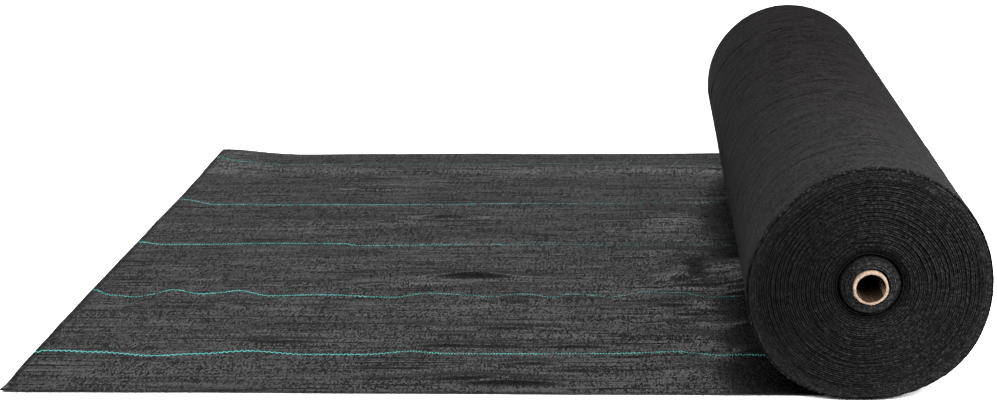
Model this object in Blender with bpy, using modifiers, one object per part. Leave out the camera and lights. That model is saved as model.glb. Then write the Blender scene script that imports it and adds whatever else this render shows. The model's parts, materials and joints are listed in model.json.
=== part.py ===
# Geotextile roll: black woven ground-cover cloth wound on a cardboard tube, with its last
# metre laid out on the floor. Metres, +Z up. The roll's axis runs along Y, and the laid
# cloth lies towards -X. The origin is on the floor, under the roll's axis and in the
# middle of the laid cloth's width.

import math

import bmesh
import bpy
import numpy as np
from mathutils import Vector

# Cloth
cloth_width = 1.0
laid_length = 0.9925  # from the cut edge to the roll's lowest line
ply_thickness = 0.0012  # one thickness of cloth

# Roll
roll_radius = 0.136
roll_sidestep = 0.024  # how far the roll's near end stands past the laid cloth's edge
winding_loops = 24
points_per_loop = 24
turn_gap = 0.0005
groove_width = 0.005  # the open ring between the innermost turns and the rest
groove_start_loops = 2.4
groove_ease_loops = 0.3

# Core
core_outer_radius = 0.0203
core_wall = 0.0037
core_overhang = 0.002  # at each end of the roll
core_sides = 64

# Tape that holds the cloth's inner end to the core
tape_width = 0.025
tape_thickness = 0.0003
tape_end_inset = 0.006
tape_sides = 12

# Marker yarns in the laid cloth's upper face, as many as its width takes
marker_spacing = 0.2
marker_far_margin = 0.082  # from the far edge to the first yarn
marker_least_near_margin = 0.05  # no yarn lies closer to the near edge
marker_width = 0.004
marker_thickness = 0.0005
channel_side_clearance = 0.0004

# Seats
seat_gap = 0.0003  # between pieces that touch

SHARP_ANGLE = math.radians(35.0)
SLIT = 1e-6  # points this close are one

half_facet = math.pi / points_per_loop
hub_radius = (core_outer_radius + 2 * seat_gap + tape_thickness) / math.cos(half_facet)
under_ply_radius = roll_radius - ply_thickness - turn_gap
loop_pitch = (under_ply_radius - hub_radius - ply_thickness - groove_width) / (winding_loops - 1)
roll_near_y = -cloth_width / 2 - roll_sidestep
roll_middle_y = roll_near_y + cloth_width / 2
laid_end_x = roll_radius * math.sin(half_facet) - seat_gap
marked_width = cloth_width - marker_far_margin - marker_least_near_margin
marker_count = math.floor(marked_width / marker_spacing) + 1
channel_depth = marker_thickness + seat_gap
channel_width = marker_width + 2 * channel_side_clearance


def clear_scene():
    for obj in list(bpy.data.objects):
        bpy.data.objects.remove(obj, do_unlink=True)


def make_material(name, colour, roughness):
    material = bpy.data.materials.new(name)
    material.use_nodes = True
    shader = material.node_tree.nodes["Principled BSDF"]
    shader.inputs["Base Color"].default_value = (*colour, 1.0)
    shader.inputs["Roughness"].default_value = roughness
    shader.inputs["Metallic"].default_value = 0.0
    material.diffuse_color = (*colour, 1.0)
    return material


def add_object(name, data, collection, material, parent=None):
    obj = bpy.data.objects.new(name, data)
    collection.objects.link(obj)
    data.materials.append(material)
    if parent is not None:
        obj.parent = parent
    return obj


def flat_outline(name, points, thickness):
    """A closed 2D outline, filled and given a thickness along its own Z."""
    curve = bpy.data.curves.new(name, "CURVE")
    curve.dimensions = "2D"
    curve.fill_mode = "BOTH"
    curve.extrude = thickness / 2
    spline = curve.splines.new("POLY")
    spline.points.add(len(points) - 1)
    for point, (x, y) in zip(spline.points, points):
        point.co = (x, y, 0.0, 1.0)
    spline.use_cyclic_u = True
    return curve


def outline_mesh(name, points, thickness):
    """The same as a mesh, with its caps welded to its sides."""
    guide = bpy.data.objects.new(name, flat_outline(name, points, thickness))
    bpy.context.scene.collection.objects.link(guide)
    graph = bpy.context.evaluated_depsgraph_get()
    mesh = bpy.data.meshes.new_from_object(guide.evaluated_get(graph), depsgraph=graph)
    bpy.data.objects.remove(guide, do_unlink=True)
    body = bmesh.new()
    body.from_mesh(mesh)
    bmesh.ops.remove_doubles(body, verts=body.verts, dist=SLIT)
    bmesh.ops.recalc_face_normals(body, faces=body.faces)
    body.to_mesh(mesh)
    body.free()
    mesh.name = name
    mesh.shade_smooth()
    mesh.set_sharp_from_angle(angle=SHARP_ANGLE)
    return mesh


def groove_share(turns):
    """How much of the groove lies inside the cloth at this many turns from the inner end."""
    share = min(max((turns - groove_start_loops) / groove_ease_loops, 0.0), 1.0)
    return share * share * (3 - 2 * share)


def outer_radius(turns):
    """The loops step out evenly, but for the last, which lies over the one below as a single ply."""
    even = min(turns, winding_loops - 1)
    last = turns - even
    return (
        hub_radius
        + ply_thickness
        + loop_pitch * even
        + groove_width * groove_share(turns)
        + (ply_thickness + turn_gap) * last
    )


def inner_radius(turns):
    if turns < 1:
        return hub_radius
    opened = groove_share(turns) - groove_share(turns - 1)
    return outer_radius(turns - 1) + turn_gap + groove_width * opened


def spiral_point(turns, radius):
    """A point of the roll's end, from its axis. The outer end is just right of the lowest line."""
    angle = half_facet + (winding_loops - turns) * math.tau
    return radius * math.sin(angle), -radius * math.cos(angle)


def winding_sides():
    """The outer and the inner side of the wound cloth, each from the inner end to the outer end."""
    steps = [step / points_per_loop for step in range(winding_loops * points_per_loop + 1)]
    outside = [spiral_point(turns, outer_radius(turns)) for turns in steps]
    inside = [spiral_point(turns, inner_radius(turns)) for turns in steps]
    return outside, inside


def least_gap(outside, inside):
    """The least distance from the inner side of any loop to the outer side of the loop below."""
    starts = np.array(outside[:-1])
    runs = np.array(outside[1:]) - starts
    least = math.inf
    for step in range(points_per_loop + 1, len(inside)):
        below = slice(0, step - points_per_loop // 2)
        for point in (inside[step], np.add(inside[step], inside[step - 1]) / 2):
            offset = point - starts[below]
            share = (offset * runs[below]).sum(axis=1) / (runs[below] ** 2).sum(axis=1)
            nearest = offset - np.clip(share, 0, 1)[:, None] * runs[below]
            least = min(least, float(np.sqrt((nearest**2).sum(axis=1)).min()))
    return least


def make_winding(collection, material, parent):
    """Cloth wound on the core, one unbroken spiral. Each loop stands for several turns."""
    outside, inside = winding_sides()
    print(f"winding: {winding_loops} loops, least gap {1000 * least_gap(outside, inside):.2f} mm")
    mesh = outline_mesh("winding", outside + inside[::-1], cloth_width)
    obj = add_object("winding", mesh, collection, material, parent)
    obj.rotation_euler = (math.pi / 2, 0, 0)
    return obj


def make_core(collection, material, parent):
    """An open cardboard tube."""
    length = cloth_width + 2 * core_overhang
    inner = core_outer_radius - core_wall
    wall = [
        (core_outer_radius, length / 2),
        (core_outer_radius, -length / 2),
        (inner, -length / 2),
        (inner, length / 2),
    ]
    profile = bmesh.new()
    corners = [profile.verts.new((x, 0, z)) for x, z in wall]
    for first, second in zip(corners, corners[1:] + corners[:1]):
        profile.edges.new((first, second))
    mesh = bpy.data.meshes.new("core_tube")
    profile.to_mesh(mesh)
    profile.free()
    obj = add_object("core_tube", mesh, collection, material, parent)
    turned = obj.modifiers.new("turned", "SCREW")
    turned.steps = core_sides
    turned.render_steps = core_sides
    turned.use_merge_vertices = True
    turned.merge_threshold = SLIT
    turned.use_smooth_shade = True
    obj.rotation_euler = (math.pi / 2, 0, 0)
    return obj


def make_tape(collection, material, parent):
    """A strip round part of the core, under the cloth's inner end."""
    low = core_outer_radius + seat_gap
    high = low + tape_thickness
    end = half_facet
    sweep = tape_width / core_outer_radius
    angles = [end - sweep * step / tape_sides for step in range(tape_sides + 1)]
    points = [(high * math.sin(a), -high * math.cos(a)) for a in angles]
    points += [(low * math.sin(a), -low * math.cos(a)) for a in reversed(angles)]
    mesh = outline_mesh("start_tape", points, cloth_width - 2 * tape_end_inset)
    obj = add_object("start_tape", mesh, collection, material, parent)
    obj.rotation_euler = (math.pi / 2, 0, 0)
    return obj


def marker_places():
    """Where the marker yarns lie across the width, from the far edge to the near edge."""
    first = cloth_width / 2 - marker_far_margin
    return [first - marker_spacing * n for n in range(marker_count)]


def make_laid_sheet(collection, material):
    """The cloth on the floor, with a channel for each marker yarn in its upper face."""
    bottom = ply_thickness - channel_depth
    points = [(cloth_width / 2, 0), (cloth_width / 2, ply_thickness)]
    for place in marker_places():
        right = place + channel_width / 2
        left = place - channel_width / 2
        points += [(right, ply_thickness), (right, bottom), (left, bottom), (left, ply_thickness)]
    points += [(-cloth_width / 2, ply_thickness), (-cloth_width / 2, 0)]
    mesh = outline_mesh("laid_sheet", points, laid_length + laid_end_x)
    obj = add_object("laid_sheet", mesh, collection, material)
    obj.rotation_euler = (math.pi / 2, 0, math.pi / 2)
    obj.location.x = (laid_end_x - laid_length) / 2
    return obj


def make_marker_yarns(collection, material):
    """One yarn to a channel, flush with the cloth."""
    size = Vector((laid_length + laid_end_x, marker_width, marker_thickness))
    body = bmesh.new()
    bmesh.ops.create_cube(body, size=1.0)
    bmesh.ops.scale(body, vec=size, verts=body.verts)
    mesh = bpy.data.meshes.new("marker_yarn")
    body.to_mesh(mesh)
    body.free()
    mesh.materials.append(material)
    for number, place in enumerate(marker_places(), 1):
        obj = bpy.data.objects.new(f"marker_yarn_{number}", mesh)
        collection.objects.link(obj)
        obj.location = (
            (laid_end_x - laid_length) / 2,
            place,
            ply_thickness - marker_thickness / 2,
        )


def main():
    clear_scene()
    collection = bpy.data.collections.new("geotextile_roll")
    bpy.context.scene.collection.children.link(collection)
    cloth = make_material("black_cloth", (0.018, 0.019, 0.021), 0.92)
    teal = make_material("teal_yarn", (0.06, 0.42, 0.38), 0.75)
    kraft = make_material("kraft_board", (0.42, 0.29, 0.17), 0.88)
    adhesive = make_material("adhesive_tape", (0.72, 0.69, 0.6), 0.4)

    roll_axis = bpy.data.objects.new("roll_axis", None)
    collection.objects.link(roll_axis)
    roll_axis.location = (0, roll_middle_y, roll_radius)
    make_core(collection, kraft, roll_axis)
    make_tape(collection, adhesive, roll_axis)
    make_winding(collection, cloth, roll_axis)
    make_laid_sheet(collection, cloth)
    make_marker_yarns(collection, teal)


main()
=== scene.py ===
# Looks of the geotextile roll: laid cloth with its marker yarns, wound cloth, outer turn and core.
# Metres, +Z up. The roll's axis runs along Y and the laid cloth lies towards -X.

import json
import math

import bmesh
import bpy
import numpy as np
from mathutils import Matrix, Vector


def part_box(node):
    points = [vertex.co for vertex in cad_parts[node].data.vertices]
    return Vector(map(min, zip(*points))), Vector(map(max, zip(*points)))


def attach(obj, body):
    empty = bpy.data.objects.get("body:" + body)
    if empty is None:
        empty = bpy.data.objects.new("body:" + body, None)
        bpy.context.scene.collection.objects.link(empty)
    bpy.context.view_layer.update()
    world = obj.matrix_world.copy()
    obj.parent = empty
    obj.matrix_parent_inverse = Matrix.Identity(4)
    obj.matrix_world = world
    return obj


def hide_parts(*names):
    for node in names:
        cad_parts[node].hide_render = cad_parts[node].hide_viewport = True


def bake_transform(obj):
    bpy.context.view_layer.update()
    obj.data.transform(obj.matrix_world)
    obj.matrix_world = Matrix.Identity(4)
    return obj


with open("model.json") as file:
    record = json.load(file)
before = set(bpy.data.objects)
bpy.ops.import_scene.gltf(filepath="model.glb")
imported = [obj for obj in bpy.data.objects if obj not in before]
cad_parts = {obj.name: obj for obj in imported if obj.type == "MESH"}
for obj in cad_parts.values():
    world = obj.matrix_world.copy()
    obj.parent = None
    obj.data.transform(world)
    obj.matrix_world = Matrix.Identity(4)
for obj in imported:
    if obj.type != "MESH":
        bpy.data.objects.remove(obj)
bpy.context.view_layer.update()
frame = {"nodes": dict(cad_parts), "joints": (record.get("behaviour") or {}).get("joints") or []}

# Places taken from the frame
turnJoint = next(joint for joint in frame["joints"] if joint["name"] == "roll_turn")
axisHeight = turnJoint["pos_m"][2]
rollRadius = axisHeight
sheetLow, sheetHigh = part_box("laid_sheet")
rollLow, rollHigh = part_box("winding")
coreLow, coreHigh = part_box("core_tube")
axisPoint = Vector((0.0, 0.0, axisHeight))

# The noise of ripple, which has a random slope at each corner of its cells
noiseSeed = 11
noiseCells = 47  # along each side, after which it repeats
noiseGain = 1.7
slopes = np.random.RandomState(noiseSeed).normal(size=(3, noiseCells, noiseCells, noiseCells))
slopes /= np.linalg.norm(slopes, axis=0)

weldDistance = 1e-6  # vertices this close become one


def ease(value):
    value = np.clip(value, 0.0, 1.0)
    return value * value * (3 - 2 * value)


def hump(value):
    return np.exp(-value * value)


def ripple(x, y, z=0.0):
    # smooth noise, mostly from -1 to 1, one cell to a unit. In its calls the factors set the
    # size of the pattern, and plain numbers pick another part of it
    places = np.stack(np.broadcast_arrays(x, y, z)).astype(float)
    cells = np.floor(places).astype(int)
    offsets = places - cells
    shares = ease(offsets)
    total = 0.0
    for corner in np.ndindex(2, 2, 2):
        index = tuple((cell + step) % noiseCells for cell, step in zip(cells, corner))
        weight = np.prod([share if step else 1 - share for share, step in zip(shares, corner)], axis=0)
        rise = sum(slope[index] * (offset - step) for slope, offset, step in zip(slopes, offsets, corner))
        total = total + weight * rise
    return noiseGain * total


def along(points, x):
    # eased height of a line through given points
    places, heights = np.array(points).T
    index = np.clip(np.searchsorted(places, x) - 1, 0, len(places) - 2)
    share = ease((x - places[index]) / (places[index + 1] - places[index]))
    return heights[index] + (heights[index + 1] - heights[index]) * share


def reshape(body, shape):
    # shape takes the vertices' x, y and z and gives them back moved
    mesh = bpy.data.meshes.new("shaping")
    body.to_mesh(mesh)
    places = np.empty(len(mesh.vertices) * 3)
    mesh.vertices.foreach_get("co", places)
    moved = np.stack(shape(*places.reshape(-1, 3).T), axis=1)
    mesh.vertices.foreach_set("co", moved.ravel())
    body.clear()
    body.from_mesh(mesh)
    bpy.data.meshes.remove(mesh)


def addPiece(name, body, material):
    mesh = bpy.data.meshes.new(name)
    body.to_mesh(mesh)
    body.free()
    mesh.shade_smooth()
    mesh.materials.append(material)
    piece = bpy.data.objects.new(name, mesh)
    bpy.context.scene.collection.objects.link(piece)
    return piece


def turnedBody(outline, steps):
    # a closed outline, as (radius, y), turned once round the roll's axis
    body = bmesh.new()
    ring = [body.verts.new((0.0, y, axisHeight + radius)) for radius, y in outline]
    edges = [body.edges.new(pair) for pair in zip(ring, ring[1:] + ring[:1])]
    bmesh.ops.spin(
        body,
        geom=ring + edges,
        cent=axisPoint,
        axis=(0, 1, 0),
        angle=math.tau,
        steps=steps,
        use_merge=True,
    )
    bmesh.ops.remove_doubles(body, verts=body.verts, dist=weldDistance)
    bmesh.ops.recalc_face_normals(body, faces=body.faces)
    return body


def fromAxis(x, z):
    # the distance from the roll's axis, and the direction away from it
    radius = np.hypot(x, z - axisHeight)
    return radius, x / radius, (z - axisHeight) / radius


# Material helpers

def newMaterial(name, roughness, specular):
    material = bpy.data.materials.new(name)
    material.use_nodes = True
    tree = material.node_tree
    shader = tree.nodes["Principled BSDF"]
    shader.inputs["Roughness"].default_value = roughness
    shader.inputs["Specular IOR Level"].default_value = specular
    return material, tree, shader


def addNode(tree, kind, inputs, **settings):
    node = tree.nodes.new(kind)
    for name, value in settings.items():
        setattr(node, name, value)
    for name, value in inputs.items():
        if isinstance(value, bpy.types.NodeSocket):
            tree.links.new(value, node.inputs[name])
        else:
            node.inputs[name].default_value = value
    return node


def objectPoint(tree):
    return addNode(tree, "ShaderNodeTexCoord", {}).outputs["Object"]


def noiseLayer(tree, point, scale, detail=2.0, shift=(0.0, 0.0, 0.0)):
    # scale holds the pattern's cells in a metre along x, y and z
    place = addNode(tree, "ShaderNodeMapping", {"Vector": point, "Scale": scale, "Location": shift})
    inputs = {"Vector": place.outputs["Vector"], "Scale": 1.0, "Detail": detail}
    return addNode(tree, "ShaderNodeTexNoise", inputs).outputs["Fac"]


def cellLayer(tree, point, scale):
    # one even tone from 0 to 1 for each cell
    place = addNode(tree, "ShaderNodeMapping", {"Vector": point, "Scale": scale})
    layer = addNode(tree, "ShaderNodeTexVoronoi", {"Vector": place.outputs["Vector"], "Scale": 1.0})
    return addNode(tree, "ShaderNodeSeparateColor", {"Color": layer.outputs["Color"]}).outputs["Red"]


def spread(tree, value, low, high, toLow=0.0, toHigh=1.0):
    reach = {"Value": value, "From Min": low, "From Max": high, "To Min": toLow, "To Max": toHigh}
    return addNode(tree, "ShaderNodeMapRange", reach).outputs["Result"]


def operate(tree, kind, operation, values):
    node = addNode(tree, kind, {}, operation=operation)
    for socket, value in zip(node.inputs, values):
        if isinstance(value, bpy.types.NodeSocket):
            tree.links.new(value, socket)
        else:
            socket.default_value = value
    return node.outputs


def combine(tree, operation, first, second=0.0):
    return operate(tree, "ShaderNodeMath", operation, (first, second))["Value"]


def fromNoise(tree, layer, toLow=0.0, toHigh=1.0):
    # most of a noise layer lies between these two
    return spread(tree, layer, 0.3, 0.7, toLow, toHigh)


def varied(tree, tone, layer, amount):
    # the noise layer raises and lowers the tone by up to amount
    return combine(tree, "ADD", tone, fromNoise(tree, layer, -amount, amount))


def blendColours(tree, share, first, second):
    node = addNode(tree, "ShaderNodeMix", {}, data_type="RGBA")
    for name, value in (("Factor_Float", share), ("A_Color", first), ("B_Color", second)):
        socket = next(s for s in node.inputs if s.identifier == name)
        if isinstance(value, bpy.types.NodeSocket):
            tree.links.new(value, socket)
        else:
            socket.default_value = (*value, 1.0)
    return next(s for s in node.outputs if s.identifier == "Result_Color")


def axisDistance(tree, point):
    # the distance from the roll's axis, and the direction away from it
    kind = "ShaderNodeVectorMath"
    centred = operate(tree, kind, "SUBTRACT", (point, axisPoint))["Vector"]
    flat = operate(tree, kind, "MULTIPLY", (centred, (1, 0, 1)))["Vector"]
    radius = operate(tree, kind, "LENGTH", (flat,))["Value"]
    unit = operate(tree, kind, "NORMALIZE", (flat,))["Vector"]
    return radius, unit


def bumped(tree, shader, height, distance, strength=1.0):
    bump = addNode(tree, "ShaderNodeBump", {"Height": height, "Distance": distance, "Strength": strength})
    tree.links.new(bump.outputs["Normal"], shader.inputs["Normal"])


# Camera

camera = {
    "place": (-0.2599, -2.1196, 0.7385),
    "pitchDown": 17.511,  # degrees
    "focalPixels": 1543.4,
    "centrePixel": 635.4,  # where the lens points, across the photograph
    "imageWidth": 997,
    "sensor": 36.0,
    "farClip": 100.0,
}


def makeCamera():
    data = bpy.data.cameras.new("camera")
    data.sensor_width = camera["sensor"]
    data.lens = camera["focalPixels"] * camera["sensor"] / camera["imageWidth"]
    data.shift_x = (camera["imageWidth"] / 2 - camera["centrePixel"]) / camera["imageWidth"]
    data.clip_end = camera["farClip"]
    obj = bpy.data.objects.new("camera", data)
    obj.location = camera["place"]
    obj.rotation_euler = (math.radians(90 - camera["pitchDown"]), 0, 0)
    bpy.context.scene.collection.objects.link(obj)
    bpy.context.scene.camera = obj


# Floor and light

studio = {
    "floorSize": 80.0,
    "floorHeight": -0.0013,  # the cloth sinks a little where more of it is unrolled
    "floorColour": (0.95, 0.95, 0.95),
    "floorRoughness": 0.8,
    "floorSpecular": 0.2,
    # strength of the surround from the horizon to overhead, as (sine of the height, strength)
    "surround": [(0.0, 0.2), (0.26, 0.2), (0.33, 0.2), (0.40, 1.4), (0.46, 6.5), (0.53, 0.02), (1.0, 0.02)],
    "surroundFront": 0.45,  # share of its strength on the camera's side
    "surroundTurn": 0.6,  # how far a direction points away from the camera at full strength
    "overheadHeight": 3.0,
    "overheadStrength": 8.6,
    "overheadSpread": 56.0,  # degrees across
    "overheadTilt": (28.0, -1.0),  # degrees its light leans away from the camera and towards -X
    "frontPlace": (0.62, -1.05, 0.70),
    "frontSize": 0.5,
    "frontPower": 24.0,
}


def makeSurround():
    world = bpy.data.worlds.new("studio")
    world.use_nodes = True
    tree = world.node_tree
    direction = addNode(tree, "ShaderNodeTexCoord", {}).outputs["Generated"]
    parts = addNode(tree, "ShaderNodeSeparateXYZ", {"Vector": direction})
    ramp = addNode(tree, "ShaderNodeValToRGB", {"Fac": parts.outputs["Z"]})
    stops = ramp.color_ramp.elements
    while len(stops) < len(studio["surround"]):
        stops.new(0.5)
    for stop, (place, strength) in zip(stops, studio["surround"]):
        stop.position = place
        stop.color = (strength, strength, strength, 1.0)
    sky = tree.nodes["Background"]
    tree.links.new(ramp.outputs["Color"], sky.inputs["Color"])
    share = spread(tree, parts.outputs["Y"], 0.0, studio["surroundTurn"], studio["surroundFront"], 1.0)
    tree.links.new(share, sky.inputs["Strength"])
    bpy.context.scene.world = world


def addLight(name, kind, place, angles):
    data = bpy.data.lights.new(name, kind)
    light = bpy.data.objects.new(name, data)
    light.location = place
    light.rotation_euler = angles
    bpy.context.scene.collection.objects.link(light)
    return data


def makeStudio():
    body = bmesh.new()
    bmesh.ops.create_grid(body, x_segments=1, y_segments=1, size=studio["floorSize"] / 2)
    bmesh.ops.translate(body, vec=(0, 0, studio["floorHeight"]), verts=body.verts)
    material, _, shader = newMaterial("floor", studio["floorRoughness"], studio["floorSpecular"])
    shader.inputs["Base Color"].default_value = (*studio["floorColour"], 1.0)
    addPiece("floor", body, material)
    makeSurround()

    angles = [math.radians(tilt) for tilt in studio["overheadTilt"]] + [0]
    overhead = addLight("overhead", "SUN", (0, 0, studio["overheadHeight"]), angles)
    overhead.angle = math.radians(studio["overheadSpread"])
    overhead.energy = studio["overheadStrength"]

    place = Vector(studio["frontPlace"])
    angles = (axisPoint - place).to_track_quat("-Z", "Y").to_euler()
    front = addLight("front", "AREA", place, angles)
    front.shape = "SQUARE"
    front.size = studio["frontSize"]
    front.energy = studio["frontPower"]
    bpy.context.scene.view_settings.view_transform = "Standard"


# Laid cloth

markerYarns = {
    "thickness": 0.0013,
    "zigzagWidth": 0.0046,
    "zigzagEven": 0.8,  # share of the width that is the same all along
    "zigzagVary": 0.3,
    "zigzagLength": 0.0068,
    "pointsToZigzag": 8,
    # heights and depths of a yarn, as shares of its radius
    "seat": 0.55,  # its middle over the cloth, with no cover
    "coverVary": 0.35,
    "stitchDip": 0.5,
    # how deep each yarn lies in the cloth, as (x, depth), the far yarn first
    "cover": [
        [(-0.99, 1.40), (-0.80, 1.64), (-0.40, 1.66), (0.02, 1.85)],
        [(-0.99, 1.20), (-0.70, 1.27), (-0.45, 1.44), (-0.15, 1.72), (0.02, 1.60)],
        [(-0.99, 1.00), (-0.70, 1.23), (-0.45, 1.50), (-0.15, 1.65), (0.02, 1.55)],
        [(-0.99, 1.00), (-0.92, 1.40), (-0.85, 1.00), (-0.68, 1.10), (-0.50, 1.42), (-0.20, 1.55),
         (0.02, 1.40)],
        [(-0.99, 0.60), (-0.75, 0.80), (-0.50, 1.25), (-0.30, 1.37), (0.02, 1.30)],
    ],
    # how far each yarn wanders across the cloth, as (x, y off its straight line), the far yarn first
    "wander": [
        [(-0.99, 0.040), (-0.94, 0.016), (-0.88, 0.009), (-0.60, 0.010), (0.02, 0.010)],
        [(-0.99, 0.017), (-0.92, -0.011), (-0.79, -0.013), (-0.63, -0.013), (-0.47, -0.008), (-0.12, -0.003)],
        [(-0.99, 0.006), (-0.95, -0.004), (-0.69, 0.000), (-0.66, -0.010), (-0.46, -0.005), (-0.12, -0.009)],
        [(-0.99, 0.008), (-0.96, -0.012), (-0.925, -0.018), (-0.88, 0.006), (-0.84, -0.006),
         (-0.79, 0.004), (-0.745, -0.014), (-0.68, -0.010), (-0.58, -0.018), (-0.54, -0.004),
         (-0.45, -0.017), (-0.41, -0.006), (-0.37, -0.018), (-0.345, -0.006), (-0.29, -0.015),
         (-0.25, 0.001), (-0.20, -0.002), (-0.165, -0.019), (-0.12, -0.014)],
        [(-0.99, -0.005), (-0.98, 0.000), (-0.91, -0.005), (-0.84, -0.016), (-0.79, -0.010),
         (-0.73, 0.000), (-0.66, -0.010), (-0.59, -0.010), (-0.53, 0.000), (-0.49, -0.006),
         (-0.42, -0.006), (-0.29, -0.005), (-0.21, 0.001), (-0.15, -0.011), (-0.10, -0.013)],
    ],
}

laidCloth = {
    "segmentsAlong": 112,
    "segmentsAcross": 410,
    "thickness": 0.0008,
    "cornerLift": 0.009,  # far corner of the cut edge
    "cornerLength": 0.15,
    "cornerWidth": 0.14,
    "nearCornerLift": 0.002,
    "nearCornerSize": 0.03,
    "bulgeForWander": 0.25,  # height of the cloth where a yarn wanders outwards
    "bulgeWidth": 0.035,
    "bulgeStart": 0.08,  # from the cut edge
    # how far its cut edge lies inwards, as (y, x)
    "cutLine": [(-0.5, 0.0048), (-0.40, 0.0020), (-0.25, 0.0006), (0.0, 0.0010), (0.39, 0.0010),
                (0.5, 0.0070)],
    "cutWaver": 0.0006,
    "cutReach": 0.10,  # how far in from the cut edge the cloth follows it
    # how far the long edges lie outwards towards the roll
    "wideStart": -0.9,  # x
    "wideLength": 0.75,
    "wideNear": -0.009,
    "wideFar": 0.006,
    "sideWaver": 0.001,
    "sideReach": 0.06,
    "swell": 0.0010,
    "swellLevel": 0.25,
    "streakHeight": 0.00018,
    "streakLevel": 0.6,
    # noise cells to a metre, as (of x along a streak, of y along it, of y across it), and z
    "streaks": [(14, 19, 120, 7.7), (9, -17, 60, 2.1)],
    "foldBow": 0.0018,
    # long low folds, as (x, y, half length, half width, height)
    "folds": [
        (-0.485, -0.115, 0.050, 0.0105, 0.0053),
        (-0.550, 0.149, 0.042, 0.0075, 0.0026),
        (-0.635, 0.122, 0.030, 0.0067, 0.0016),
        (-0.695, 0.294, 0.055, 0.0075, 0.0016),
        (-0.695, -0.349, 0.050, 0.0075, 0.0018),
        (-0.780, -0.220, 0.030, 0.0090, 0.0018),
        (-0.665, -0.234, 0.022, 0.0075, 0.0015),
        (-0.730, -0.146, 0.026, 0.0075, 0.0013),
        (-0.610, -0.152, 0.020, 0.0060, 0.0013),
        (-0.540, -0.300, 0.026, 0.0067, 0.0014),
        (-0.425, -0.303, 0.046, 0.0060, 0.0016),
        (-0.485, -0.326, 0.034, 0.0060, 0.0014),
        (-0.490, -0.359, 0.038, 0.0067, 0.0017),
        (-0.425, -0.362, 0.030, 0.0060, 0.0015),
        (-0.325, -0.362, 0.046, 0.0060, 0.0015),
        (-0.415, -0.212, 0.024, 0.0083, 0.0017),
        (-0.385, -0.413, 0.030, 0.0060, 0.0014),
        (-0.330, -0.432, 0.024, 0.0067, 0.0015),
        (-0.300, -0.237, 0.022, 0.0067, 0.0014),
        (-0.220, -0.226, 0.030, 0.0075, 0.0015),
        (-0.200, -0.286, 0.030, 0.0075, 0.0016),
        (-0.440, -0.457, 0.060, 0.0075, 0.0026),
        (-0.400, -0.469, 0.050, 0.0060, 0.0024),
    ],
    # low waves beside the roll, in the same order
    "waves": [
        (-0.200, 0.150, 0.050, 0.045, 0.0026),
        (-0.095, 0.225, 0.045, 0.016, 0.0030),
        (-0.090, 0.050, 0.045, 0.028, 0.0022),
        (-0.205, -0.020, 0.050, 0.024, 0.0030),
        (-0.170, -0.152, 0.050, 0.009, 0.0022),
        (-0.185, -0.256, 0.030, 0.008, 0.0022),
        (-0.195, -0.215, 0.040, 0.022, 0.0018),
        (-0.100, -0.292, 0.030, 0.012, 0.0046),
        (-0.195, -0.335, 0.040, 0.022, 0.0018),
        (-0.115, -0.378, 0.032, 0.016, 0.0048),
        (-0.190, -0.440, 0.045, 0.035, 0.0022),
    ],
    # flat-topped ones, in the same order
    "shelves": [
        (-0.085, -0.111, 0.048, 0.054, 0.0130),
        (-0.196, -0.092, 0.023, 0.050, 0.0062),
        (-0.080, -0.176, 0.040, 0.015, 0.0090),
    ],
    "contactX": -0.025,  # from here to the right it lies flat
    "contactEase": 0.08,
    "gapShare": 0.45,  # of the height under the roll, which is as far as it rises there
}


def gapUnderRoll(x):
    # height from the floor to the roll's underside
    return axisHeight - np.sqrt(np.maximum(rollRadius**2 - x * x, 0))


def markerLine(number):
    low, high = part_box(f"marker_yarn_{number + 1}")
    return (low.y + high.y) / 2


markerLines = [markerLine(number) for number in range(len(markerYarns["wander"]))]


def sheetRise(x, y):
    # how far the laid cloth rises off the floor
    c = laidCloth
    fromCut = x - sheetLow.x
    fromFar = sheetHigh.y - y
    fromNear = y - sheetLow.y
    rise = c["cornerLift"] * ease(1 - fromCut / c["cornerLength"]) * ease(1 - fromFar / c["cornerWidth"])
    nearSize = c["nearCornerSize"]
    rise += c["nearCornerLift"] * ease(1 - fromCut / nearSize) * ease(1 - fromNear / nearSize)
    for line, wander in zip(markerLines, markerYarns["wander"]):
        bulge = np.maximum(along(wander, x), 0.0) * c["bulgeForWander"] * ease(fromCut / c["bulgeStart"])
        rise += bulge * hump((y - line) / c["bulgeWidth"])
    rise += c["swell"] * np.maximum(ripple(x * 7, y * 13, 3.1) + c["swellLevel"], 0.0)
    for alongX, alongY, acrossY, z in c["streaks"]:
        rise += c["streakHeight"] * (ripple(x * alongX + y * alongY, y * acrossY, z) + c["streakLevel"])
    for foldX, foldY, halfLength, halfWidth, height in c["folds"] + c["waves"]:
        reach = (x - foldX) / halfLength
        across = (y - foldY + c["foldBow"] * reach * reach) / halfWidth
        rise += height * hump(reach) * hump(across)
    for shelfX, shelfY, halfLength, halfWidth, height in c["shelves"]:
        across = (y - shelfY) / halfWidth
        rise += height * hump((x - shelfX) / halfLength) * hump(across**3)
    rise *= ease((c["contactX"] - x) / c["contactEase"])
    room = c["gapShare"] * gapUnderRoll(np.clip(x, -rollRadius, rollRadius))
    return np.minimum(rise, np.where(x < -rollRadius, np.inf, room))


def sheetDrift(x, y):
    # the cut edge and the long edges aren't quite straight
    c = laidCloth
    cut = ease(1 - (x - sheetLow.x) / c["cutReach"])
    side = ease(1 - (sheetHigh.y - np.abs(y)) / c["sideReach"])
    wide = np.clip((x - c["wideStart"]) / c["wideLength"], 0, 1)
    wide = wide * np.where(y < 0, c["wideNear"], c["wideFar"])
    driftX = cut * (along(c["cutLine"], y) + c["cutWaver"] * ripple(y * 6, 2.3))
    driftY = wide * (2 * y) ** 2 + side * c["sideWaver"] * ripple(x * 5, y * 2, 8.8)
    return driftX, driftY


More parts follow.
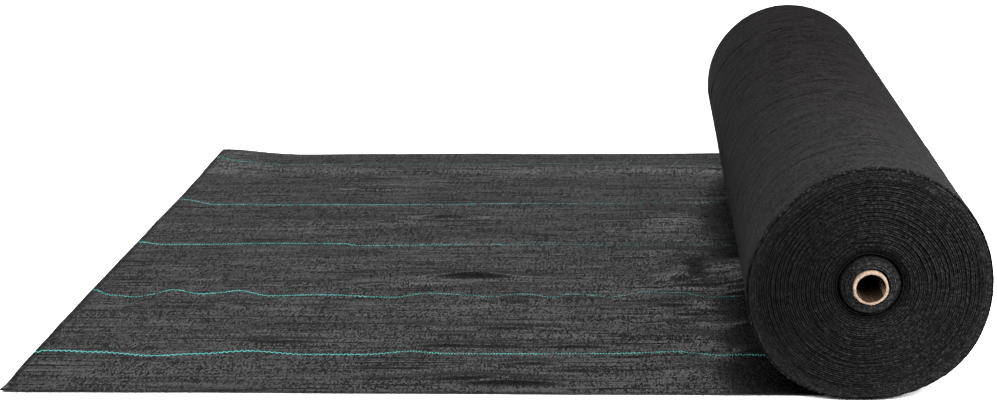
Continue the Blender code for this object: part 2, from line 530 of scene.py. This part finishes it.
def makeLaidCloth(material):
    c = laidCloth
    body = bmesh.new()
    bmesh.ops.create_grid(body, x_segments=c["segmentsAlong"], y_segments=c["segmentsAcross"], size=0.5)
    bmesh.ops.scale(body, vec=(sheetHigh.x - sheetLow.x, sheetHigh.y - sheetLow.y, 1.0), verts=body.verts)
    bmesh.ops.translate(body, vec=((sheetLow.x + sheetHigh.x) / 2, 0, 0), verts=body.verts)
    bmesh.ops.recalc_face_normals(body, faces=body.faces)
    bmesh.ops.solidify(body, geom=body.faces[:], thickness=c["thickness"])
    lowest = min(vert.co.z for vert in body.verts)
    bmesh.ops.translate(body, vec=(0, 0, -lowest), verts=body.verts)
    bmesh.ops.recalc_face_normals(body, faces=body.faces)

    def shape(x, y, z):
        driftX, driftY = sheetDrift(x, y)
        return x + driftX, y + driftY, z + sheetRise(x, y)

    reshape(body, shape)
    piece = addPiece("laidCloth", body, material)
    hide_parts("laid_sheet")
    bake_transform(piece)
    print("laid cloth made")
    return piece


def makeMarkerYarn(number, material):
    c = markerYarns
    radius = c["thickness"] / 2
    length = sheetHigh.x - sheetLow.x
    count = int(length / c["zigzagLength"] * c["pointsToZigzag"])
    step = np.arange(count)
    x = sheetLow.x + radius + (length - 2 * radius) * step / (count - 1)
    phase = step * math.tau / c["pointsToZigzag"]
    swing = c["zigzagWidth"] / 2 * (c["zigzagEven"] + c["zigzagVary"] * ripple(x * 40, number * 5.1))
    y = markerLines[number] + along(c["wander"][number], x) + swing * np.sin(phase)
    sunk = along(c["cover"][number], x) + c["coverVary"] * ripple(x * 90, number * 3.7, 2.2)
    sunk = sunk - c["stitchDip"] * np.cos(phase * 2)
    driftX, driftY = sheetDrift(x, y)
    z = laidCloth["thickness"] + sheetRise(x, y) + radius * (c["seat"] - sunk)
    curve = bpy.data.curves.new("markerYarn", "CURVE")
    curve.dimensions = "3D"
    curve.bevel_depth = radius
    curve.bevel_resolution = 1
    curve.use_fill_caps = True
    spline = curve.splines.new("POLY")
    spline.points.add(count - 1)
    spline.points.foreach_set("co", np.stack([x + driftX, y + driftY, z, np.ones(count)], axis=1).ravel())
    guide = bpy.data.objects.new("yarnGuide", curve)
    bpy.context.scene.collection.objects.link(guide)
    graph = bpy.context.evaluated_depsgraph_get()
    mesh = bpy.data.meshes.new_from_object(guide.evaluated_get(graph), depsgraph=graph)
    bpy.data.objects.remove(guide, do_unlink=True)
    body = bmesh.new()
    body.from_mesh(mesh)
    bmesh.ops.remove_doubles(body, verts=body.verts, dist=weldDistance)
    bmesh.ops.recalc_face_normals(body, faces=body.faces)
    piece = addPiece(f"markerYarn{number + 1}", body, material)
    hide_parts(f"marker_yarn_{number + 1}")
    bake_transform(piece)
    return piece


# Roll

roll = {
    "underLift": 0.0011,  # the laid cloth under the roll
    "underHeight": 0.006,
    # how the loose near end departs from round, as (degrees from the lowest line towards +X,
    # half width in degrees, outwards)
    "lobes": [
        (-45, 28, 0.0048),
        (-90, 18, 0.0016),
        (-133, 22, -0.0034),
        (-205, 30, 0.0022),
        (52, 26, 0.0034),
    ],
    "lobeLength": 0.12,
}


def rollShape(x, y, z):
    # the roll is a little out of round at its loose near end, and lies on the laid cloth
    radius = np.hypot(x, z - axisHeight)
    angle = np.degrees(np.arctan2(x, axisHeight - z))
    push = 0.0
    for centre, halfWidth, out in roll["lobes"]:
        push = push + out * hump(((angle - centre + 180) % 360 - 180) / halfWidth)
    near = ease(1 - (y - rollLow.y) / roll["lobeLength"])
    stretch = 1 + push * near * (radius / rollRadius) ** 3 / radius
    x = x * stretch
    z = axisHeight + (z - axisHeight) * stretch
    low = np.clip(1 - z / roll["underHeight"], 0, 1)
    return x, y, np.maximum(z, 0) + roll["underLift"] * low * low


woundCloth = {
    "loops": 46,
    "stepsToLoop": 120,
    "cloth": 0.78,  # share of the pitch that is cloth
    "pairShift": 0.16,  # share of the pitch by which loops close up in pairs
    "pairLevel": 0.45,  # how much of that shift a place takes, and how much this varies
    "pairVary": 0.8,
    "endAngle": 7.5,  # of the cloth's outer end, from the lowest line
    "endEase": 0.08,  # loops
    "innerGap": 0.0002,  # to the CAD tube's surface
    "outerGap": 0.0011,  # to the roll's surface, for the outer turn
    "grooveRadius": 0.0322,
    "grooveWidth": 0.0030,
    "grooveEase": 0.25,  # loops
    "edgeRound": 0.0010,
    # a loop's edge, as (share of its thickness, share of edgeRound that it stands back)
    "edgeSection": [(0.0, 1.0), (0.2, 0.3), (0.5, 0.0), (0.8, 0.3), (1.0, 1.0)],
    "edgeReach": 0.01,  # how far from the roll's ends the edges are moved
    "wave": 0.0011,
    # how far the edges stand back from the roll's ends
    "pairDepth": 0.0007,
    "pairPhase": 0.8,
    "looseDepth": 0.0019,
    "fineDepth": 0.0005,
    # the rim, where the outermost loops end in tufts
    "rimWidth": 0.014,
    "rimEase": 0.005,
    "rimDepth": 0.0012,
    "rimLevel": 0.7,
    "rimCalm": 0.85,  # share of the depths above that it takes away
    "rimFlat": 0.75,  # share of the edges' rounding that it takes away
    "rimDrop": 0.0014,  # towards the axis, under the outer turn's edge
    "closeLoops": 5,
    "closeEase": 0.5,  # loops, inside the groove
    "valleyRadius": 0.0376,
    "valleyWidth": 0.0072,
    "valleyDepth": 0.0080,
    "looseSpots": (0.035, 0.07, 0.105),  # from the near end, where the outer side bends
}


def makeWoundCloth(material):
    c = woundCloth
    start = coreHigh.z - axisHeight + c["innerGap"]
    end = rollRadius - c["outerGap"]
    pitch = (end - start - c["grooveWidth"]) / (c["loops"] + c["cloth"])
    band = pitch * c["cloth"]
    bend = c["edgeRound"]
    # the band's section, from its near edge to its far edge and back
    near = [(band * share, rollLow.y + bend * back) for share, back in c["edgeSection"]]
    bends = [(band, rollLow.y + spot) for spot in c["looseSpots"]]
    far = [(band * share, rollHigh.y - bend * back) for share, back in reversed(c["edgeSection"])]
    section = np.array(near + bends + far + near[:1])
    steps = c["loops"] * c["stepsToLoop"]
    body = bmesh.new()
    bmesh.ops.create_grid(body, x_segments=steps, y_segments=len(section) - 1, size=0.5)

    def shape(x, y, z):
        # the flat grid is wound up: its x runs along the cloth, and its y round the section
        turns = (x + 0.5) * c["loops"]
        left = c["loops"] - turns
        place = np.rint((y + 0.5) * (len(section) - 1)).astype(int)
        out, y = section[place].T
        angle = math.radians(c["endAngle"]) - turns * math.tau
        ux, uz = np.sin(angle), -np.cos(angle)
        opened = (c["grooveRadius"] - start) / pitch
        # the last loop fills up to the outer turn, and the ones below it lie close
        share = np.maximum(ease(1 - left / c["closeLoops"]), ease((opened - turns) / c["closeEase"]))
        out = out * (1 + share * (1 / c["cloth"] - 1))
        filled = (left / c["cloth"]) * (left < 1) * ease((1 - left) / c["endEase"])
        out = out * (1 + filled * (1 - share * (1 - c["cloth"])))
        radius = start + out + pitch * turns + c["grooveWidth"] * ease((turns - opened) / c["grooveEase"])
        paired = c["pairLevel"] + c["pairVary"] * ripple(ux * 1.3 + 5, uz * 1.3 + 5, turns * 0.22)
        shift = c["pairShift"] * pitch * (1 - share) * np.clip(paired, 0, 1)
        radius = radius + shift * np.sin(turns * math.pi)
        # waves, but none next to the tube and the outer turn
        inside = np.clip((radius - start) / (end - start), 0, 1)
        calm = 4 * inside * (1 - inside)
        radius = radius + c["wave"] * calm * ripple(ux * 2.2 + 5, uz * 2.2 + 5, radius * 55)
        radius = np.minimum(radius, end)
        push = c["pairDepth"] * (0.5 + 0.5 * np.cos(turns * math.pi + c["pairPhase"]))
        push = push + c["looseDepth"] * (0.5 + ripple(ux * 1.6 + 5, uz * 1.6 + 5, turns * 0.75))
        push = push + c["fineDepth"] * ripple(ux * 30, uz * 30, turns * 3.0)
        push = push + c["valleyDepth"] * hump((radius - c["valleyRadius"]) / c["valleyWidth"])
        rim = ease((c["rimWidth"] - (end - radius)) / c["rimEase"])
        tufts = ripple(ux * 14, uz * 14, radius * 90) + 0.6 * ripple(ux * 31, uz * 31, radius * 240)
        push = push * (1 - c["rimCalm"] * rim) + rim * c["rimDepth"] * (c["rimLevel"] + tufts)
        push = np.maximum(push, 0.0)
        atFace = y < rollLow.y + c["edgeReach"]
        atBack = y > rollHigh.y - c["edgeReach"]
        radius = radius - atFace * rim * c["rimDrop"]
        y = y + np.where(atFace, push - c["rimFlat"] * rim * (y - rollLow.y), 0.0)
        y = y - np.where(atBack, push, 0.0)
        return rollShape(ux * radius, y, axisHeight + uz * radius)

    reshape(body, shape)
    bmesh.ops.remove_doubles(body, verts=body.verts, dist=weldDistance)
    bmesh.ops.holes_fill(body, edges=[edge for edge in body.edges if edge.is_boundary], sides=len(section))
    bmesh.ops.recalc_face_normals(body, faces=body.faces)
    piece = addPiece("woundCloth", body, material)
    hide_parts("winding")
    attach(piece, "roll")
    print("wound cloth made")


outerTurn = {
    "segmentsAlong": 480,
    "segmentsRound": 180,
    "thickness": 0.0009,
    "edgeInset": 0.0006,
    "shoulder": 0.0009,  # how far its edges turn in towards the axis
    "shoulderLength": 0.006,
    "fray": 0.0006,
    "grainHeight": 0.00022,
    "waver": 0.006,  # how far the fine creases stray from their lines
    "fineWaver": 0.0022,
    # creases round the roll, as (degrees from the top towards +X, y) points, half width, depth
    "creases": [
        (
            [(-100, 0.352), (-80, 0.340), (-58, 0.316), (-41, 0.302), (-17, 0.276), (10, 0.278),
             (29, 0.306), (60, 0.380)],
            0.0050,
            0.0016,
        ),
        (
            [(-60, -0.085), (-40, -0.125), (-19, -0.154), (6, -0.204), (20, -0.225), (45, -0.240)],
            0.0032,
            0.0009,
        ),
        ([(-22, -0.298), (-10, -0.306), (9, -0.321), (22, -0.330)], 0.0030, 0.0008),
    ],
    "creaseEase": 10,  # degrees, at both ends
    "creaseWaver": 0.4,  # share of the fine creases' waver
    "creaseLevel": 0.55,  # share of the depth at a place, and how much this varies
    "creaseVary": 0.9,
    "creaseLeast": 0.1,
    "fineCreases": 120,
    "fineTurn": 222.5,  # degrees round the roll from each one to the next
    "fineTilt": 0.0003,  # y for each degree
    "fineReach": 14,  # degrees, and up to as many more as the next
    "fineReachVary": 60,
    "fineWidth": 0.0026,
    "fineDepth": 0.0004,
    "creaseShade": 0.0012,  # depth at which a crease's painted shade is darkest
}


def makeOuterTurn(material):
    c = outerTurn
    inset = c["edgeInset"]
    low, high = rollLow.y, rollHigh.y
    count = c["segmentsAlong"]
    outer = [(rollRadius, low + inset + (high - low - 2 * inset) * n / count) for n in range(count + 1)]
    inner = rollRadius - c["thickness"]
    middle = rollRadius - c["thickness"] / 2
    outline = outer + [(middle, high), (inner, high - inset), (inner, low + inset), (middle, low)]
    body = turnedBody(outline, c["segmentsRound"])
    paintedCreaseShades = []

    def shape(x, y, z):
        radius, ux, uz = fromAxis(x, z)
        angle = np.degrees(np.arctan2(ux, uz))
        dent = c["grainHeight"] * ripple(ux * 5 + y * 31, uz * 5 - y * 23, y * 210 + ux * 3)
        dent = dent + c["grainHeight"] * ripple(ux * 9 + y * 47, uz * 9 + y * 37, y * 390 + uz * 4)
        waver = c["waver"] * ripple(ux * 3, uz * 3, y * 12)
        waver = waver + c["fineWaver"] * ripple(ux * 11, uz * 11, y * 40)
        paintedCreaseShade = 0.0
        # each crease is a dent with a low ridge beside it, and the deeper it is, the darker its painted shade
        for points, halfWidth, depth in c["creases"]:
            ends = ease((angle - points[0][0]) / c["creaseEase"])
            ends = ends * ease((points[-1][0] - angle) / c["creaseEase"])
            level = c["creaseLevel"] + c["creaseVary"] * ripple(ux * 7 + 3, uz * 7 + 3, 2.6)
            ends = ends * np.clip(level, c["creaseLeast"], 1)
            off = (y - along(points, angle) - c["creaseWaver"] * waver) / halfWidth
            dent = dent - depth * ends * (hump(off) - 0.5 * hump(off - 1.6))
            paintedCreaseShade = paintedCreaseShade + depth * ends * hump(off * 1.3)
        for number in range(c["fineCreases"]):
            spot = (number + 0.5 + 0.5 * float(ripple(number * 3.3, 1.1))) / c["fineCreases"]
            tilt = -c["fineTilt"] + 2 * c["fineTilt"] * float(ripple(number * 1.9, 4.4))
            centre = number * c["fineTurn"] % 360 - 180
            reach = c["fineReach"] + c["fineReachVary"] * abs(float(ripple(number * 5.3, 6.6)))
            depth = c["fineDepth"] + c["fineDepth"] * float(ripple(number * 4.1, 2.8))
            turned = (angle - centre + 180) % 360 - 180
            off = (y - low - (high - low) * spot - tilt * turned - waver) / c["fineWidth"]
            dent = dent - depth * hump(turned / reach) * (hump(off) - 0.6 * hump(off - 1.5))
            paintedCreaseShade = paintedCreaseShade + depth * hump(turned / reach) * hump(off * 1.2)
        # painted shade: how dark each point's creases are painted, from 0 to 1
        paintedCreaseShades.append(np.clip(paintedCreaseShade / c["creaseShade"], 0, 1))
        radius = radius + np.where(radius > middle, dent, 0.0)
        atEdge = ease(1 - np.minimum(y - low, high - y) / c["shoulderLength"]) ** 2
        fray = ripple(ux * 18, uz * 18, 3.3) + 0.7 * ripple(ux * 34, uz * 34, 8.1)
        radius = radius - atEdge * (c["shoulder"] + c["fray"] * fray)
        y = y + 2 * c["fray"] * atEdge * (1 + ripple(ux * 24, uz * 24, 1.7)) * np.sign(-y)
        return rollShape(ux * radius, y, axisHeight + uz * radius)

    reshape(body, shape)
    piece = addPiece("outerTurn", body, material)
    piece.data.attributes.new("paintedCreaseShade", "FLOAT", "POINT").data.foreach_set("value", paintedCreaseShades[0])
    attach(piece, "roll")
    print("outer turn made")
    return piece


coreTube = {
    "segmentsRound": 160,
    "inset": 0.0007,  # from the CAD tube's surface
    "wall": 0.0033,
    "edgeRound": 0.0005,
    "bandLength": 0.004,  # of the last ring of faces outside, at each end
    "innerRings": (0.25, -0.25),  # y of the points along the bore
    "torn": 0.0006,
    "tornReach": 0.002,  # from its ends
}


def makeCoreTube(material):
    c = coreTube
    outer = coreHigh.z - axisHeight - c["inset"]
    inner = outer - c["wall"]
    low, high = coreLow.y, coreHigh.y
    curl = c["edgeRound"]
    band = c["bandLength"]
    outline = [
        (outer - curl, low),
        (outer, low + curl),
        (outer, low + band),
        (outer, high - band),
        (outer, high - curl),
        (outer - curl, high),
        (inner + curl, high),
        (inner, high - curl),
        *((inner, y) for y in c["innerRings"]),
        (inner, low + curl),
        (inner + curl, low),
    ]
    body = turnedBody(outline, c["segmentsRound"])

    def shape(x, y, z):
        radius, ux, uz = fromAxis(x, z)
        ragged = ripple(ux * 3 + 9, uz * 3 + 9, y * 20)
        ragged = ragged + 0.6 * ripple(ux * 9 + 9, uz * 9 + 9, 3 + y * 20)
        atEnd = np.minimum(y - low, high - y) < c["tornReach"]
        radius = radius + np.where(atEnd, c["torn"] * ragged, 0.0)
        y = y + np.where(atEnd, c["torn"] * ripple(ux * 6 + 9, uz * 6 + 9, 9.1), 0.0)
        return ux * radius, y, axisHeight + uz * radius

    reshape(body, shape)
    piece = addPiece("coreTube", body, material)
    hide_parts("core_tube")
    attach(piece, "roll")
    print("core tube made")


# Finishes

def laidClothFinish():
    material, tree, shader = newMaterial("laidClothWeave", roughness=0.3, specular=0.12)
    dark, pale = (0.0004, 0.0004, 0.0005), (0.0026, 0.0026, 0.0029)
    point = objectPoint(tree)
    flecks = cellLayer(tree, point, (700, 270, 700))
    rows = noiseLayer(tree, point, (12, 170, 60), 1.0, (3.1, 0.0, 0.0))
    bands = noiseLayer(tree, point, (6, 45, 60), 1.0, (6.1, 0.0, 0.0))
    ribs = noiseLayer(tree, point, (260, 16, 60), 1.0, (0.0, 5.2, 0.0))
    # thin dark lines where the tapes lie loose
    loose = noiseLayer(tree, point, (7, 240, 60), 1.0, (1.3, 0.0, 0.0))
    tone = spread(tree, flecks, 0.0, 1.0, 0.05, 0.95)
    tone = varied(tree, tone, rows, 0.2)
    tone = varied(tree, tone, bands, 0.13)
    tone = varied(tree, tone, ribs, 0.12)
    tone = combine(tree, "ADD", tone, spread(tree, loose, 0.61, 0.70, 0.0, -0.7))
    colour = blendColours(tree, spread(tree, tone, 0.1, 0.9), dark, pale)
    tree.links.new(colour, shader.inputs["Base Color"])
    # the paler a tape is, the smoother, up to a limit
    tree.links.new(spread(tree, tone, 0.06, 0.50, 0.85, 0.25), shader.inputs["Roughness"])
    bumped(tree, shader, tone, 0.0002)
    return material


def outerTurnFinish():
    material, tree, shader = newMaterial("outerTurnWeave", roughness=0.9, specular=0.02)
    dark = (0.0015, 0.0013, 0.0013)
    paleLitNear, paleShadedFar = (0.0186, 0.0181, 0.0180), (0.0186, 0.0174, 0.0170)
    creaseShadeColour, fuzzDark = (0.0008, 0.0007, 0.0007), (0.0008, 0.0007, 0.0008)
    fuzzLow, fuzzHigh = rollLow.y - 0.002, rollLow.y + 0.014
    point = objectPoint(tree)
    across = addNode(tree, "ShaderNodeSeparateXYZ", {"Vector": point}).outputs["Y"]
    flecks = cellLayer(tree, point, (600, 260, 600))
    threads = noiseLayer(tree, point, (25, 170, 25), shift=(5.0, 0.0, 0.0))
    tone = varied(tree, flecks, threads, 0.35)
    # painted light: the cloth is painted paler towards the roll's near end, where the front lamp lights it
    # more
    tone = combine(tree, "ADD", tone, spread(tree, across, -0.5, 0.15, 0.6, 0.0))
    pale = blendColours(tree, spread(tree, across, -0.45, 0.1), paleLitNear, paleShadedFar)
    colour = blendColours(tree, spread(tree, tone, -0.1, 1.6), dark, pale)
    # painted shade: the creases are painted darker by their depth, for the shade that falls in them
    paintedCreaseShade = addNode(tree, "ShaderNodeAttribute", {}, attribute_name="paintedCreaseShade").outputs["Fac"]
    colour = blendColours(tree, combine(tree, "MULTIPLY", paintedCreaseShade, 0.6), colour, creaseShadeColour)
    # near the edge the colour turns dark in ragged tufts
    tufts = noiseLayer(tree, point, (330, 200, 330), shift=(2.2, 0.0, 0.0))
    torn = combine(tree, "SUBTRACT", across, spread(tree, tufts, 0.35, 0.65, fuzzLow, fuzzHigh))
    colour = blendColours(tree, spread(tree, torn, -0.0015, 0.0015, 0.85, 0.0), colour, fuzzDark)
    tree.links.new(colour, shader.inputs["Base Color"])
    bumped(tree, shader, tone, 0.0004)
    return material


def woundClothFinish():
    material, tree, shader = newMaterial("clothEdges", roughness=0.85, specular=0.05)
    dark, sideShadeDark, valleyShadeDark = (0.0004, 0.0004, 0.0005), (0.0003, 0.0003, 0.0004), (0.001, 0.001, 0.001)
    point = objectPoint(tree)
    across = addNode(tree, "ShaderNodeSeparateXYZ", {"Vector": point}).outputs["Y"]
    radius, unit = axisDistance(tree, point)
    parts = addNode(tree, "ShaderNodeSeparateXYZ", {"Vector": unit}).outputs
    polar = addNode(tree, "ShaderNodeCombineXYZ", {"X": parts["X"], "Y": radius, "Z": parts["Z"]})
    arcs = noiseLayer(tree, polar.outputs["Vector"], (9, 650, 9))
    flecks = combine(tree, "POWER", cellLayer(tree, point, (520, 520, 520)), 3.0)
    tone = combine(tree, "ADD", fromNoise(tree, arcs, 0.0, 0.3), flecks)
    # the edges are paler inside the groove and a little blue; painted light: they are also painted paler at
    # the far end, which the lamps light less
    pale = spread(tree, radius, 0.029, 0.035, 0.027, 0.0150)
    pale = combine(tree, "MULTIPLY", pale, spread(tree, across, 0.0, 0.4, 1.0, 2.2))
    blue = combine(tree, "MULTIPLY", pale, 1.04)
    tops = addNode(tree, "ShaderNodeCombineXYZ", {"X": pale, "Y": pale, "Z": blue})
    colour = blendColours(tree, spread(tree, tone, 0.0, 1.3), dark, tops.outputs["Vector"])
    # painted shade: at the near end the edges are painted darker towards the laid cloth, the side the lamps
    # light less
    side = spread(tree, parts["X"], -1.0, 0.3, 0.5, 0.0)
    side = combine(tree, "MULTIPLY", side, spread(tree, across, 0.0, 0.4, 1.0, 0.0))
    colour = blendColours(tree, side, colour, sideShadeDark)
    # painted shade: the groove is painted darker towards its bottom, where shade falls in it
    off = combine(tree, "SUBTRACT", radius, woundCloth["valleyRadius"])
    off = combine(tree, "ABSOLUTE", off)
    colour = blendColours(tree, spread(tree, off, 0.001, 0.0085, 0.7, 0.0), colour, valleyShadeDark)
    tree.links.new(colour, shader.inputs["Base Color"])
    bumped(tree, shader, tone, 0.0008)
    return material


def yarnFinish():
    material, tree, shader = newMaterial("tealYarn", roughness=0.55, specular=0.4)
    dark, pale = (0.014, 0.135, 0.128), (0.075, 0.39, 0.365)
    fibres = noiseLayer(tree, objectPoint(tree), (900, 900, 900))
    colour = blendColours(tree, fromNoise(tree, fibres), dark, pale)
    tree.links.new(colour, shader.inputs["Base Color"])
    bumped(tree, shader, fibres, 0.0003, 0.6)
    return material


def kraftFinish():
    material, tree, shader = newMaterial("kraftBoard", roughness=0.8, specular=0.1)
    dark, pale, boreShadeDark = (0.10, 0.070, 0.050), (0.225, 0.168, 0.127), (0.013, 0.0058, 0.0022)
    point = objectPoint(tree)
    fibres = noiseLayer(tree, point, (420, 420, 420), 3.0)
    plies = noiseLayer(tree, point, (120, 30, 120), shift=(1.7, 0.0, 0.0))
    tone = combine(tree, "ADD", fromNoise(tree, fibres, 0.0, 0.6), fromNoise(tree, plies, 0.0, 0.4))
    colour = blendColours(tree, tone, dark, pale)
    # painted shade: the bore's inner wall is painted nearly black, for the shade inside the tube
    bore = spread(tree, axisDistance(tree, point)[0], 0.0164, 0.0168, 1.0, 0.0)
    colour = blendColours(tree, bore, colour, boreShadeDark)
    tree.links.new(colour, shader.inputs["Base Color"])
    bumped(tree, shader, tone, 0.0003, 0.5)
    return material


def tapeFinish():
    material, tree, shader = newMaterial("adhesiveTape", roughness=0.4, specular=0.5)
    dark, pale = (0.62, 0.58, 0.48), (0.76, 0.73, 0.64)
    film = noiseLayer(tree, objectPoint(tree), (90, 40, 90))
    tree.links.new(blendColours(tree, film, dark, pale), shader.inputs["Base Color"])
    return material


makeCamera()
makeStudio()
print("camera, floor and light made")
sheetPiece = makeLaidCloth(laidClothFinish())
yarnMaterial = yarnFinish()
yarnPieces = [makeMarkerYarn(number, yarnMaterial) for number in range(len(markerLines))]
print("marker yarns made")
makeWoundCloth(woundClothFinish())
outerPiece = makeOuterTurn(outerTurnFinish())
makeCoreTube(kraftFinish())
frame["nodes"]["start_tape"].data.materials.clear()
frame["nodes"]["start_tape"].data.materials.append(tapeFinish())
